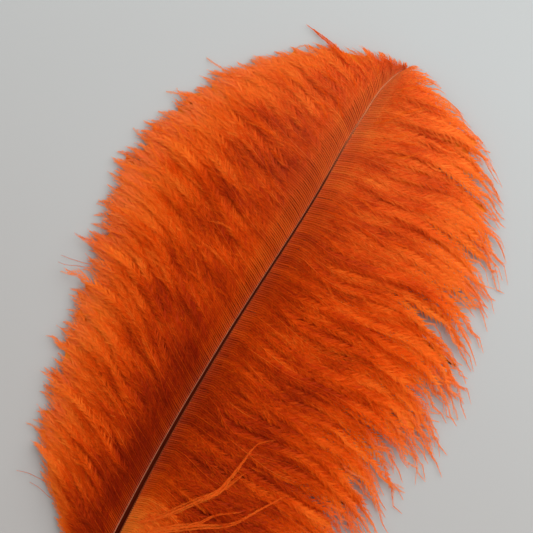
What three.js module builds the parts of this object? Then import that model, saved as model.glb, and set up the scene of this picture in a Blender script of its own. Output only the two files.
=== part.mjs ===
// Dyed ostrich plume, lying on a flat surface with the groove of its shaft up.
// Millimetres, +Z up, +Y from the quill to the tip, left vane on -X and right vane on +X.
// The shaft is a tapering horn rod. Each vane is a row of drooping locks, the clumps that its long
// loose barbs fall into, joined side by side near the shaft and parted towards their ends.

import * as THREE from 'three';

// Driving dimensions, in millimetres
const featherLength = 340; // end of the quill to the tip of the shaft
const vaneLength = 275; // tip of the shaft to the lowest barbs
const locksPerVane = 26;
const shaftGap = 0.3; // clearance between the shaft and each vane
const shaftFlatness = 0.92; // the shaft's height over its width
const thinnestRoot = 0.8; // half the thickness that a vane's root keeps along the thin end of the shaft
const rootShare = 0.5; // a vane's thickness at its root, over the shaft's width there
const crestShare = 0.17; // a short lock rises by this share of its length at most
const combWay = 12; // how far along a barb its first bend ends
const middleShare = 0.5; // and the share of its length where its second bend ends
const combShare = 0.25; // a short barb's first bend ends at this share of its length
const droopFrom = 0.45; // share of a barb's length from which it droops back
const droopPower = 1.3; // above 1 a barb droops most near its tip
const lockEndHeight = 1;
const lockEndWidth = 0.3; // share of a lock's width that is left at its tip
const ridgeShare = 0.3; // a lock has its full ridge and valleys from this share of its length
const hollowShare = 0.66; // a vane is hollow below: its underside rises by this share of the crest
const hollowFrom = 0.25; // share of a lock's length where the underside starts to fall to the surface
const restShare = 0.73; // and where it has reached it, to lie flat on it up to the tip
const prongSpread = 0.62; // how far a prong's tip leans from its lock's middle
const prongPinch = 0.75; // how much of its width a prong has lost at its tip
const reachScatter = 0.07; // how unequal the locks' lengths, sideways lean and heights are
const swayShare = 0.2;
const liftScatter = 0.14;
const liftStep = 0.08; // every second lock stands this much higher
const rowShares = [0, 0.1, 0.25, 0.42, 0.58, 0.73, 0.87, 1]; // rows of points, by share of a lock's length
const forkRow = 6; // each lock forks in two from this row
const lateParting = 0.35; // share of the valleys where neighbouring locks part one row later
const shaftStations = 42;
const stationEasing = 0.09; // how much closer the shaft's stations stand towards its ends
const undersideSides = 6; // faces round the shaft's underside
const directionStep = 0.5; // the shaft's direction is taken this far on either side of a place
const pathSteps = 24; // steps along a barb's curve

// Everything along the feather is given by its distance from the tip of the shaft: [distance, value]
const shaftSideways = [
  [0, 0], [3, -1.9], [9, -4], [30, -5.6], [70, -4.8], [150, -6], [195, -5.2], [240, -2.5],
  [290, 2.5], [340, 8.5],
];
const shaftHeight = [
  [0, 2], [30, 3.6], [90, 5], [160, 5.4], [230, 4.6], [285, 2.9], [325, 1.85], [340, 1.7],
];
const shaftHalfWidth = [
  [0, 0.25], [60, 0.5], [120, 0.8], [165, 1.05], [245, 1.75], [285, 2], [325, 1.95], [335, 1.6], [340, 0.9],
];
const grooveShare = [[0, 0.35], [40, 0.8], [230, 1], [278, 1], [292, 0], [340, 0]];
// How far a long lock rises above the line from its root to its tip
const crestHeight = [[0, 8], [60, 9.5], [120, 11.5], [180, 14], [275, 14.5]];

// A barb's direction is its angle from +Y, in degrees, towards its own side: where it leaves the shaft,
// past the comb of bare barbs beside the shaft, half way along, and at its tip
const vanes = {
  left_vane: {
    side: -1,
    seed: 3,
    partRow: 5, // neighbouring locks part from this row or the next
    length: [
      [0, 4], [3, 7], [8, 15], [16, 26], [28, 44], [45, 59], [65, 71], [90, 80], [115, 84], [150, 85],
      [170, 80], [200, 70], [225, 64], [245, 61], [258, 54], [268, 34], [275, 20],
    ],
    rootAngle: [[0, 6], [8, 24], [25, 46], [60, 54], [275, 52]],
    combAngle: [[0, 12], [8, 36], [25, 60], [60, 76], [120, 84], [275, 78]],
    middleAngle: [[0, 20], [8, 50], [25, 72], [60, 66], [110, 58], [170, 56], [215, 66], [275, 60]],
    tipAngle: [[0, 30], [8, 70], [25, 92], [60, 96], [110, 98], [170, 96], [215, 92], [275, 80]],
  },
  right_vane: {
    side: 1,
    seed: 11,
    partRow: 4,
    length: [
      [0, 5], [3, 12], [8, 26], [16, 46], [28, 66], [45, 82], [75, 94], [115, 105], [135, 106],
      [155, 99], [200, 96], [240, 86], [258, 71], [268, 50], [275, 28],
    ],
    rootAngle: [[0, 34], [8, 46], [25, 54], [275, 52]],
    combAngle: [[0, 44], [8, 62], [25, 70], [60, 82], [100, 94], [275, 94]],
    middleAngle: [[0, 52], [8, 70], [25, 76], [60, 76], [100, 78], [160, 82], [275, 84]],
    tipAngle: [[0, 64], [8, 90], [25, 108], [60, 118], [120, 126], [200, 124], [275, 116]],
  },
};

// How much of its crest a lock has reached, by the share of its length
const archShape = [[0, 0], [0.1, 0.46], [0.2, 0.8], [0.38, 1], [0.64, 0.74], [0.85, 0.32], [1, 0]];

// Where the columns of points stand across one lock, from -1 at the valley towards the feather's tip
// to 1 at the valley towards the quill, and how high the lock is there
const columnPlaces = [-1, -0.5, 0, 0.5, 1];
const columnHeights = [0.66, 0.9, 1, 0.9, 0.66];
const prongHeights = [0.4, 1, 0.4, 1, 0.4];
const columnsPerLock = columnPlaces.length - 1;

const { lerp, smoothstep, clamp, degToRad } = THREE.MathUtils;

// A smooth curve through [place, value] points, one value for each place
function through(points, place) {
  const last = points.length - 1;
  const at = clamp(place, points[0][0], points[last][0]);
  let i = 0;
  while (i < last - 1 && at > points[i + 1][0]) i += 1;
  const slope = (k) => (points[k + 1][1] - points[k][1]) / (points[k + 1][0] - points[k][0]);
  const tangent = (k) => {
    if (k === 0) return slope(0);
    if (k === last) return slope(last - 1);
    const before = points[k][0] - points[k - 1][0];
    const after = points[k + 1][0] - points[k][0];
    return (slope(k - 1) * after + slope(k) * before) / (before + after);
  };
  const span = points[i + 1][0] - points[i][0];
  const s = (at - points[i][0]) / span;
  return (
    (2 * s ** 3 - 3 * s ** 2 + 1) * points[i][1] +
    (s ** 3 - 2 * s ** 2 + s) * span * tangent(i) +
    (3 * s ** 2 - 2 * s ** 3) * points[i + 1][1] +
    (s ** 3 - s ** 2) * span * tangent(i + 1)
  );
}

// The same scatter each time: a number from -1 to 1 for each seed and index
function scatter(seed, index) {
  const wave = Math.sin(seed * 12.9898 + index * 78.233) * 43758.5453;
  return 2 * (wave - Math.floor(wave)) - 1;
}

const vertical = new THREE.Vector3(0, 0, 1);

function shaftPoint(distance) {
  return new THREE.Vector3(through(shaftSideways, distance), -distance, through(shaftHeight, distance));
}

function shaftDirection(distance) {
  const ahead = shaftPoint(Math.max(distance - directionStep, 0));
  const behind = shaftPoint(Math.min(distance + directionStep, featherLength));
  return ahead.sub(behind).normalize();
}

function shaftAcross(distance) {
  return new THREE.Vector3().crossVectors(shaftDirection(distance), vertical).normalize();
}

function facetedGeometry(positions, index) {
  const geometry = new THREE.BufferGeometry();
  geometry.setAttribute('position', new THREE.Float32BufferAttribute(positions, 3));
  geometry.setIndex(index);
  geometry.computeVertexNormals();
  return geometry;
}

// The shaft's outline at one place: round below, and above it a groove between two rims
function shaftSection(distance) {
  const groove = through(grooveShare, distance);
  const half = through(shaftHalfWidth, distance);
  const outline = [];
  for (let k = 0; k <= undersideSides; k += 1) {
    const turn = -Math.PI * (k / undersideSides);
    outline.push([Math.cos(turn), Math.sin(turn)]);
  }
  const plain = [[-0.72, 0.7], [-0.42, 0.91], [-0.16, 0.99]];
  const grooved = [[-0.82, 0.58], [-0.52, 0.74], [-0.26, 0.12]];
  const top = plain.map(([x, z], k) => [
    lerp(x, grooved[k][0], groove),
    lerp(z, grooved[k][1], groove),
  ]);
  outline.push(...top, ...top.map(([x, z]) => [-x, z]).reverse());
  const across = shaftAcross(distance);
  const up = new THREE.Vector3().crossVectors(across, shaftDirection(distance));
  return outline.map(([x, z]) =>
    shaftPoint(distance).addScaledVector(across, x * half).addScaledVector(up, z * half * shaftFlatness),
  );
}

function shaftGeometry() {
  const positions = [];
  const index = [];
  let count = 0;
  for (let s = 0; s <= shaftStations; s += 1) {
    const share = s / shaftStations;
    const closer = stationEasing * Math.sin(2 * Math.PI * share);
    const section = shaftSection(featherLength * (1 - share + closer));
    count = section.length;
    for (const p of section) positions.push(p.x, p.y, p.z);
  }
  for (let s = 0; s < shaftStations; s += 1) {
    for (let k = 0; k < count; k += 1) {
      const a = s * count + k;
      const b = s * count + ((k + 1) % count);
      index.push(a, b, b + count, a, b + count, a + count);
    }
  }
  const closeEnd = (place, first, flip) => {
    const centre = positions.length / 3;
    const middle = shaftPoint(place);
    positions.push(middle.x, middle.y, middle.z);
    for (let k = 0; k < count; k += 1) {
      const a = first + k;
      const b = first + ((k + 1) % count);
      index.push(...(flip ? [centre, b, a] : [centre, a, b]));
    }
  };
  closeEnd(featherLength, 0, true);
  closeEnd(0, shaftStations * count, false);
  return facetedGeometry(positions, index);
}

// A barb bends back over the comb, swings forwards in the middle and droops back at its end
function barbHeading(vane, distance, length, share) {
  const [leave, over, halfWay, end] = [vane.rootAngle, vane.combAngle, vane.middleAngle, vane.tipAngle]
    .map((angles) => degToRad(through(angles, distance)));
  const comb = Math.min(combWay, combShare * length);
  return (
    leave +
    (over - leave) * smoothstep(share * length, 0, comb) +
    (halfWay - over) * smoothstep(share * length, comb, middleShare * length) +
    (end - halfWay) * Math.max((share - droopFrom) / (1 - droopFrom), 0) ** droopPower
  );
}

// Where a barb rooted at this distance has got to, seen from above, at a share of its length
function barbPoint(vane, distance, share) {
  const length = through(vane.length, distance);
  const rootOffset = vane.side * (through(shaftHalfWidth, distance) + shaftGap);
  const point = shaftPoint(distance).addScaledVector(shaftAcross(distance), rootOffset);
  for (let k = 0; k < pathSteps; k += 1) {
    const angle = barbHeading(vane, distance, length, share * ((k + 0.5) / pathSteps));
    point.x += (vane.side * Math.sin(angle) * length * share) / pathSteps;
    point.y += (Math.cos(angle) * length * share) / pathSteps;
  }
  return point;
}

// One point on a lock. place runs across the lock from -1 to 1, and prong says which half of a forked
// lock the point is on: -1, 1, or 0 before the fork.
function lockPoint(vane, { lock, place, prong, share, shared, level }) {
  const span = vaneLength / locksPerVane;
  const apart = smoothstep(share, rowShares[vane.partRow], 1);
  const narrow = lerp(1, lockEndWidth, apart);
  const forked = prong === 0 ? 0 : smoothstep(share, rowShares[forkRow], 1);
  const prongPlace = prong * prongSpread;
  const across = lerp(place * narrow, prongPlace, forked * prongPinch);
  const sway = swayShare * scatter(vane.seed, lock) * apart;
  const distance = clamp((lock + 0.5 + across / 2 + sway) * span, 0, vaneLength);
  const reach = 1 + reachScatter * apart * scatter(vane.seed + 1, lock * 3 + prong);
  const point = barbPoint(vane, distance, share * reach);

  const rootHeight = through(shaftHeight, distance);
  const rootHalf = Math.max(through(shaftHalfWidth, distance), thinnestRoot);
  const fullCrest = Math.min(through(crestHeight, distance), crestShare * through(vane.length, distance));
  const arched = fullCrest * through(archShape, share);
  const clear = 1 - smoothstep(share, hollowFrom, restShare);
  const bottom = (rootHeight - rootHalf * rootShare + hollowShare * arched) * clear;
  if (level === 'bottom') return point.setZ(bottom);

  const liftOf = (k) => 1 + liftScatter * scatter(vane.seed + 2, k) + (k % 2 ? liftStep : -liftStep);
  const lift = shared ? (liftOf(lock) + liftOf(lock + shared)) / 2 : liftOf(lock);
  const ridge = lerp(rootHeight + rootHalf * rootShare, lockEndHeight, share) + arched * lift;
  const column = columnPlaces.indexOf(place);
  const grown = lerp(1, columnHeights[column], smoothstep(share, 0, ridgeShare));
  const fallen = lerp(grown, prongHeights[column], forked);
  return point.setZ(lerp(bottom, ridge, fallen));
}

// A vane is a grid of columns side by side along the shaft and rows outwards, with a top and a bottom.
// Columns in the valleys part from the vane's partRow, and those on the ridges from forkRow.
function vaneGeometry(vane) {
  const cells = locksPerVane * columnsPerLock;
  const lastRow = rowShares.length - 1;
  const ridgeColumn = columnsPerLock / 2;
  const positions = [];
  const index = [];
  const known = new Map();

  const partsFrom = (column) => {
    if (column === 0 || column === cells) return 0;
    const within = column % columnsPerLock;
    const late = scatter(vane.seed + 3, column) > 1 - 2 * lateParting;
    if (within === 0) return vane.partRow + (late ? 1 : 0);
    return within === ridgeColumn ? forkRow : lastRow;
  };
  // The point that a cell has on one of its two columns
  const corner = (cell, column, row, level) => {
    const open = row > partsFrom(column);
    const key = `${column} ${row} ${level} ${open ? cell : 'shared'}`;
    if (known.has(key)) return known.get(key);
    const lock = Math.floor(cell / columnsPerLock);
    const within = column - lock * columnsPerLock;
    const onValley = within === 0 || within === columnsPerLock;
    const outer = column === 0 || column === cells;
    const shared = onValley && !outer && !open ? (within === 0 ? -1 : 1) : 0;
    const prong = row > forkRow ? (cell % columnsPerLock < ridgeColumn ? -1 : 1) : 0;
    const p = lockPoint(vane, {
      lock, place: columnPlaces[within], prong, share: rowShares[row], shared, level,
    });
    known.set(key, positions.length / 3);
    positions.push(p.x, p.y, p.z);
    return known.get(key);
  };
  const face = (a, b, c, d) => {
    const corners = vane.side > 0 ? [a, b, c, d] : [d, c, b, a];
    index.push(corners[0], corners[1], corners[2], corners[0], corners[2], corners[3]);
  };

  for (let cell = 0; cell < cells; cell += 1) {
    const near = (row, level) => corner(cell, cell, row, level);
    const far = (row, level) => corner(cell, cell + 1, row, level);
    for (let row = 0; row < lastRow; row += 1) {
      const [next, top, bottom] = [row + 1, 'top', 'bottom'];
      face(near(row, top), far(row, top), far(next, top), near(next, top));
      face(near(row, bottom), near(next, bottom), far(next, bottom), far(row, bottom));
      if (row >= partsFrom(cell)) {
        face(near(row, top), near(next, top), near(next, bottom), near(row, bottom));
      }
      if (row >= partsFrom(cell + 1)) {
        face(far(next, top), far(row, top), far(row, bottom), far(next, bottom));
      }
    }
    face(far(0, 'top'), near(0, 'top'), near(0, 'bottom'), far(0, 'bottom'));
    face(near(lastRow, 'top'), far(lastRow, 'top'), far(lastRow, 'bottom'), near(lastRow, 'bottom'));
  }
  return facetedGeometry(positions, index);
}

function namedMesh(name, geometry, look) {
  const mesh = new THREE.Mesh(geometry, new THREE.MeshStandardMaterial(look));
  mesh.name = name;
  return mesh;
}

const plume = new THREE.Group();
plume.add(namedMesh('shaft', shaftGeometry(), { color: 0x4a2010, roughness: 0.45, metalness: 0 }));
for (const [name, vane] of Object.entries(vanes)) {
  plume.add(namedMesh(name, vaneGeometry(vane), { color: 0xd9531a, roughness: 0.85, metalness: 0 }));
}

// The origin is on the surface, under the middle of the feather's box
const box = new THREE.Box3().setFromObject(plume);
const middle = box.getCenter(new THREE.Vector3());
plume.position.set(-middle.x, -middle.y, -box.min.z);

export default plume;
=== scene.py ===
# Dyed ostrich plume lying on a pale table, with the groove of its shaft up.
# Shapes are worked out in millimetres and become metres when their mesh is made.
# Places along the feather are distances from the tip of the shaft.

import math
import bpy
import numpy as np
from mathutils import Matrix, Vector


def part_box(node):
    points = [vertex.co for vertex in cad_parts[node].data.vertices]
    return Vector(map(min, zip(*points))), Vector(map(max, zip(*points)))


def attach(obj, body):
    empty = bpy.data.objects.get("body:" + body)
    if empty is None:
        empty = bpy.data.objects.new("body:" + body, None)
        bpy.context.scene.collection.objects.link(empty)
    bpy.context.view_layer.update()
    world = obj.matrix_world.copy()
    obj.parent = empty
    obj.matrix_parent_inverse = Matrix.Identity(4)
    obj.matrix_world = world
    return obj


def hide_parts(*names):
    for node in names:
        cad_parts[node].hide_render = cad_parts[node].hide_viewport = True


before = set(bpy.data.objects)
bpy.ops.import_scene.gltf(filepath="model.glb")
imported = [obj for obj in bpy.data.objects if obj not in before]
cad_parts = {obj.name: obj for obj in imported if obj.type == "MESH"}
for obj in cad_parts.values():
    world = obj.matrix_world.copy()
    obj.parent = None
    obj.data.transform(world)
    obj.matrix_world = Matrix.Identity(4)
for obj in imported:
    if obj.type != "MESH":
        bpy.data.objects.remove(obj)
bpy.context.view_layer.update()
print("frame loaded:", ", ".join(sorted(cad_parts)))

featherLength = 340.0   # end of the quill to the tip of the shaft
vaneLength = 275.0      # tip of the shaft to the lowest barbs
millimetre = 0.001
tiny = 0.01             # keeps a soft step from having no width

# [distance from the tip, value]
shaftSideways = [
    [0, 0], [3, -1.9], [9, -4], [30, -5.6], [70, -4.8], [150, -6], [195, -5.2], [240, -2.5],
    [290, 2.5], [340, 8.5],
]
shaftHeight = [
    [0, 2], [30, 3.6], [90, 5], [160, 5.4], [230, 4.6], [285, 2.9], [325, 1.85], [340, 1.7],
]
shaftHalfWidth = [
    [0, 0.25], [60, 0.5], [120, 0.8], [165, 1.05], [245, 1.75], [285, 2], [325, 1.95], [335, 1.6],
    [340, 0.9],
]


def through(points, place):
    # one smooth curve through [place, value] points, read at any number of places
    x, y = np.array(points, float).T
    step = np.diff(x)
    slope = np.diff(y) / step
    tangent = np.empty_like(x)
    tangent[0], tangent[-1] = slope[0], slope[-1]
    tangent[1:-1] = (slope[:-1] * step[1:] + slope[1:] * step[:-1]) / (step[1:] + step[:-1])
    at = np.clip(place, x[0], x[-1])
    i = np.clip(np.searchsorted(x, at, side="right") - 1, 0, len(x) - 2)
    s = (at - x[i]) / step[i]
    return ((2 * s**3 - 3 * s**2 + 1) * y[i] + (s**3 - 2 * s**2 + s) * step[i] * tangent[i]
            + (3 * s**2 - 2 * s**3) * y[i + 1] + (s**3 - s**2) * step[i] * tangent[i + 1])


def ease(value, low, high):
    # a soft step from 0 at low to 1 at high
    s = np.clip((value - low) / (high - low), 0, 1)
    return s * s * (3 - 2 * s)


def mix(a, b, share):
    return a + (b - a) * share


def unit(vectors):
    return vectors / np.maximum(np.linalg.norm(vectors, axis=-1, keepdims=True), 1e-9)


def shaftPoint(distance):
    d = np.asarray(distance, float)
    return np.stack([through(shaftSideways, d), -d, through(shaftHeight, d)], -1)


def shaftDirection(distance):
    # towards the tip, from the places just above and just below
    d = np.asarray(distance, float)
    near = 0.5
    return unit(shaftPoint(np.maximum(d - near, 0)) - shaftPoint(np.minimum(d + near, featherLength)))


def shaftAcross(distance):
    return unit(np.cross(shaftDirection(distance), [0.0, 0.0, 1.0]))


def feathersShift():
    # the frame's origin is under the middle of the feather, so the shaft's box says where its tip lies
    low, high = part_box("shaft")
    samples = 400
    d = np.linspace(0, featherLength, samples)
    leftmost = (through(shaftSideways, d) - through(shaftHalfWidth, d)).min()
    return np.array([low.x / millimetre - leftmost, high.y / millimetre, 0.0])


shift = feathersShift()


def meshObject(name, points, triangles, marks):
    # a mesh from arrays, with one number per point for each mark that its material reads
    mesh = bpy.data.meshes.new(name)
    mesh.vertices.add(len(points))
    mesh.vertices.foreach_set("co", ((points + shift) * millimetre).astype(np.float32).ravel())
    mesh.loops.add(triangles.size)
    mesh.loops.foreach_set("vertex_index", triangles.astype(np.int32).ravel())
    mesh.polygons.add(len(triangles))
    mesh.polygons.foreach_set("loop_start", np.arange(0, triangles.size, 3, dtype=np.int32))
    for mark, values in marks.items():
        layer = mesh.attributes.new(mark, "FLOAT", "POINT")
        layer.data.foreach_set("value", np.asarray(values, np.float32))
    mesh.update(calc_edges=True)
    mesh.polygons.foreach_set("use_smooth", np.ones(len(triangles), bool))
    piece = bpy.data.objects.new(name, mesh)
    bpy.context.scene.collection.objects.link(piece)
    return piece


def newMaterial(name):
    material = bpy.data.materials.new(name)
    material.use_nodes = True
    material.node_tree.nodes.clear()
    return material, material.node_tree


def addNode(tree, kind, inputs=None, **options):
    node = tree.nodes.new("ShaderNode" + kind)
    for key, value in options.items():
        setattr(node, key, value)
    for key, value in (inputs or {}).items():
        if isinstance(value, bpy.types.NodeSocket):
            tree.links.new(value, node.inputs[key])
        else:
            node.inputs[key].default_value = value
    return node


def readMark(tree, mark):
    return addNode(tree, "Attribute", attribute_name=mark).outputs["Fac"]


def rampColours(tree, factor, stops):
    ramp = addNode(tree, "ValToRGB", {"Fac": factor})
    marks = ramp.color_ramp.elements
    while len(marks) < len(stops):
        marks.new(0.5)
    for mark, (place, colour) in zip(marks, stops):
        mark.position = place
        mark.color = (*colour, 1)
    return ramp.outputs["Color"]


# Camera and stage

cameraSettings = {
    "lens": 85,
    "sensor": 36,
    "nearest": 0.01,           # metres
    "roll": 31.5,              # the feather leans to the right in the picture, in degrees
    "middle": (-7.2, -109.2),  # feather place at the middle of the picture
    "width": 239.85,           # millimetres across the picture
    "lookHeight": 6.0,
}


def makeCamera(s):
    data = bpy.data.cameras.new("camera")
    data.lens = s["lens"]
    data.sensor_width = s["sensor"]
    data.clip_start = s["nearest"]
    away = s["width"] * s["lens"] / s["sensor"]
    camera = bpy.data.objects.new("camera", data)
    x, y = np.array(s["middle"]) + shift[:2]
    camera.location = Vector((x, y, s["lookHeight"] + away)) * millimetre
    camera.rotation_euler = (0, 0, math.radians(s["roll"]))
    bpy.context.scene.collection.objects.link(camera)
    bpy.context.scene.camera = camera


floorSettings = {
    "size": 24.0,
    "far": (0.372, 0.382, 0.38),
    "near": (0.328, 0.304, 0.290),
    "faded": 0.35,     # metres over which one becomes the other
    "patch": 2.2,      # patches to a metre
    "uneven": 0.5,
    "roughness": 0.7,
}


def makeFloor(s):
    half = s["size"] / 2
    mesh = bpy.data.meshes.new("floor")
    corners = [(-half, -half, 0), (half, -half, 0), (half, half, 0), (-half, half, 0)]
    mesh.from_pydata(corners, [], [(0, 1, 2, 3)])
    floor = bpy.data.objects.new("floor", mesh)
    bpy.context.scene.collection.objects.link(floor)
    material, tree = newMaterial("paleFloor")
    place = addNode(tree, "TexCoord").outputs["Object"]
    patches = addNode(tree, "TexNoise", {"Vector": place, "Scale": s["patch"], "Detail": 2.0})
    middle = 0.5 - s["uneven"] / 2
    # painted shade: the floor turns from the far colour to the darker, warmer near colour towards the bottom
    # of the picture, in place of the light falling off
    height = addNode(tree, "SeparateXYZ", {0: place}).outputs["Y"]
    lightAndShadeFade = addNode(tree, "Math", {0: height, 1: 1 / s["faded"], 2: middle}, operation="MULTIPLY_ADD")
    spot = addNode(tree, "Math", {0: patches.outputs["Fac"], 1: s["uneven"], 2: lightAndShadeFade.outputs[0]},
                   operation="MULTIPLY_ADD")
    colour = rampColours(tree, spot.outputs[0], [(0.0, s["near"]), (1.0, s["far"])])
    surface = addNode(tree, "BsdfPrincipled", {"Base Color": colour, "Roughness": s["roughness"]})
    addNode(tree, "OutputMaterial", {"Surface": surface.outputs["BSDF"]})
    mesh.materials.append(material)


# Distances and sizes in metres, powers in watts
lightSettings = {
    "worldColour": (1.0, 0.975, 0.95),
    "worldStrength": 0.52,
    "key": {
        "towards": (0.45, 0.95, 1.2),
        "distance": 1.25,
        "size": 1.6,
        "power": 23,
        "colour": (0.96, 0.985, 1.0),
    },
    "fill": {
        "towards": (-0.8, -0.3, 1.2),
        "distance": 1.6,
        "size": 1.2,
        "power": 3.2,
        "colour": (1.0, 0.98, 0.96),
    },
}


def makeLights(s):
    world = bpy.data.worlds.new("studio")
    bpy.context.scene.world = world
    world.use_nodes = True
    background = world.node_tree.nodes["Background"]
    background.inputs["Color"].default_value = (*s["worldColour"], 1)
    background.inputs["Strength"].default_value = s["worldStrength"]
    for name in ("key", "fill"):
        lamp = s[name]
        data = bpy.data.lights.new(name, "AREA")
        data.shape = "DISK"
        data.size = lamp["size"]
        data.energy = lamp["power"]
        data.color = lamp["colour"]
        light = bpy.data.objects.new(name, data)
        towards = Vector(lamp["towards"]).normalized()
        light.location = towards * lamp["distance"]
        light.rotation_euler = towards.to_track_quat("Z", "Y").to_euler()
        bpy.context.scene.collection.objects.link(light)
    bpy.context.scene.view_settings.view_transform = "Standard"


makeCamera(cameraSettings)
makeFloor(floorSettings)
makeLights(lightSettings)
print("camera, floor and lights made")


# Shaft

shaftSettings = {
    "flatness": 0.92,     # its height as a share of its width
    "stations": 170,
    "closeEnds": 0.09,    # how much closer the stations stand near both ends
    "underside": 12,      # points round the underside
    "groove": [[0, 0.35], [40, 0.8], [230, 1], [278, 1], [292, 0], [340, 0]],   # how deep it is
    # the upper side from the middle outwards, as [across, height], with and without the groove
    "grooved": [
        [0, 0.02], [0.16, 0.04], [0.32, 0.10], [0.46, 0.28], [0.56, 0.56], [0.64, 0.68], [0.74, 0.68],
        [0.84, 0.55], [0.93, 0.36],
    ],
    "plain": [
        [0, 1], [0.16, 0.99], [0.32, 0.95], [0.46, 0.89], [0.56, 0.83], [0.64, 0.77], [0.74, 0.67],
        [0.84, 0.54], [0.93, 0.37],
    ],
    "floorEdge": (0.36, 0.56),               # across the shaft, where the groove's floor ends
    "rimPlace": (0.58, 0.66, 0.77, 0.86),    # where the painted highlight on a rim begins, is full, still is, and ends
    "rightRimHighlight": 0.15,                         # how much of the painted highlight the right rim has, the left one being the lit one
    "roughness": 0.42,
    "shine": 0.02,
    # the groove's floor: the horn's own dark brown, made darker still as painted shade in the groove
    "dark": (0.048, 0.004, 0.0004),
    "side": (0.12, 0.016, 0.002),
    # painted highlight along the groove's rims
    "rimHighlight": (0.40, 0.15, 0.085),
    "tip": (0.50, 0.16, 0.065),
    "quill": (0.50, 0.22, 0.07),
    # those colours along the shaft, from its tip at 0 to the end of the quill at 1
    "sides": [(0.0, "tip"), (0.09, "tip"), (0.19, "side"), (0.8, "side"), (0.88, "quill")],
    "rims": [(0.0, "tip"), (0.09, "tip"), (0.2, "rimHighlight"), (0.78, "rimHighlight"), (0.86, "quill")],
    "floor": [
        (0.0, "tip"), (0.06, "tip"), (0.12, "side"), (0.22, "dark"), (0.80, "dark"), (0.87, "quill"),
    ],
    "fibres": 4200.0,                        # to a metre, across the shaft
    "stretch": (1.0, 0.05, 1.0),             # they run along it
    "grain": [(0.3, (0.72, 0.70, 0.68)), (0.7, (1.12, 1.1, 1.08))],
    "bump": 0.25,
    "bumpDepth": 0.00008,
}


def rodFaces(stations, count):
    # two triangles for each cell of the skin, and a fan to a middle point at each end
    first = np.arange(stations - 1)[:, None] * count
    ring = np.arange(count)
    a = (first + ring).ravel()
    b = (first + np.roll(ring, -1)).ravel()
    sides = np.concatenate([np.stack([a, b, b + count], 1), np.stack([a, b + count, a + count], 1)])
    last = ring + (stations - 1) * count
    quillEnd = np.full(count, stations * count)
    closeQuill = np.stack([quillEnd, np.roll(ring, -1), ring], 1)
    closeTip = np.stack([quillEnd + 1, last, np.roll(last, -1)], 1)
    return np.concatenate([sides, closeQuill, closeTip])


def makeShaft(s):
    share = np.linspace(0, 1, s["stations"])
    distance = featherLength * (1 - share + s["closeEnds"] * np.sin(2 * math.pi * share))
    turn = -math.pi * np.linspace(0, 1, s["underside"] + 1)
    under = np.stack([np.cos(turn), np.sin(turn)], -1)

    def upperSide(profile):
        half = np.array(profile)
        return np.concatenate([half[::-1] * [-1, 1], half[1:]])

    grooved, plain = upperSide(s["grooved"]), upperSide(s["plain"])
    depthMark = 1 - np.interp(np.abs(grooved[:, 0]), s["floorEdge"], [0, 1])
    rimMark = np.interp(np.abs(grooved[:, 0]), s["rimPlace"], [0, 1, 1, 0])
    rimMark[len(s["grooved"]):] *= s["rightRimHighlight"]
    groove = through(s["groove"], distance)[:, None, None]
    upper = mix(plain[None], grooved[None], groove)
    outline = np.concatenate([np.repeat(under[None], len(share), 0), upper], 1)
    middle, along, across = shaftPoint(distance), shaftDirection(distance), shaftAcross(distance)
    up = np.cross(across, along)
    half = through(shaftHalfWidth, distance)[:, None, None]
    points = (middle[:, None] + across[:, None] * outline[..., :1] * half
              + up[:, None] * outline[..., 1:] * half * s["flatness"])
    stations, count = points.shape[:2]
    everyPoint = np.concatenate([points.reshape(-1, 3), middle[:1], middle[-1:]])
    groovePart = np.concatenate([np.zeros(len(under)), depthMark])[None] * groove[:, :, 0]
    rimPart = np.concatenate([np.zeros(len(under)), rimMark])[None] * groove[:, :, 0]
    marks = {
        "groove": np.append(groovePart.ravel(), [0, 0]),
        "rimHighlight": np.append(rimPart.ravel(), [0, 0]),
        "fromTip": np.append(np.repeat(distance, count), [featherLength, 0]) / featherLength,
    }
    piece = meshObject("shaftHorn", everyPoint, rodFaces(stations, count), marks)
    piece.data.materials.append(hornMaterial(s))
    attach(piece, "root")
    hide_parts("shaft")
    print("shaft:", len(piece.data.polygons), "triangles")


def hornMaterial(s):
    material, tree = newMaterial("dyedHornWithPaintedLight")
    fromTip, groove, rimHighlight = [readMark(tree, mark) for mark in ("fromTip", "groove", "rimHighlight")]
    place = addNode(tree, "TexCoord").outputs["Object"]
    stretched = addNode(tree, "Mapping", {"Vector": place, "Scale": s["stretch"]}).outputs["Vector"]
    fibres = addNode(tree, "TexNoise", {"Vector": stretched, "Scale": s["fibres"], "Detail": 3.0})
    side, edge, floor = [
        rampColours(tree, fromTip, [(at, s[colour]) for at, colour in s[part]])
        for part in ("sides", "rims", "floor")
    ]
    # painted highlight on the rims of the groove, full on the left and faint on the right
    withRim = addNode(tree, "MixRGB", {"Fac": rimHighlight, "Color1": side, "Color2": edge}).outputs["Color"]
    # painted shade on the groove's floor, over the horn's dark brown
    withGroove = addNode(tree, "MixRGB", {"Fac": groove, "Color1": withRim, "Color2": floor})
    grain = rampColours(tree, fibres.outputs["Fac"], s["grain"])
    colour = addNode(tree, "MixRGB", {
        "Fac": 1.0, "Color1": withGroove.outputs["Color"], "Color2": grain,
    }, blend_type="MULTIPLY")
    bump = addNode(tree, "Bump", {
        "Height": fibres.outputs["Fac"], "Strength": s["bump"], "Distance": s["bumpDepth"],
    })
    surface = addNode(tree, "BsdfPrincipled", {
        "Base Color": colour.outputs["Color"], "Roughness": s["roughness"],
        "Normal": bump.outputs["Normal"], "Specular IOR Level": s["shine"],
    })
    addNode(tree, "OutputMaterial", {"Surface": surface.outputs["BSDF"]})
    return material


makeShaft(shaftSettings)


# Vanes

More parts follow.
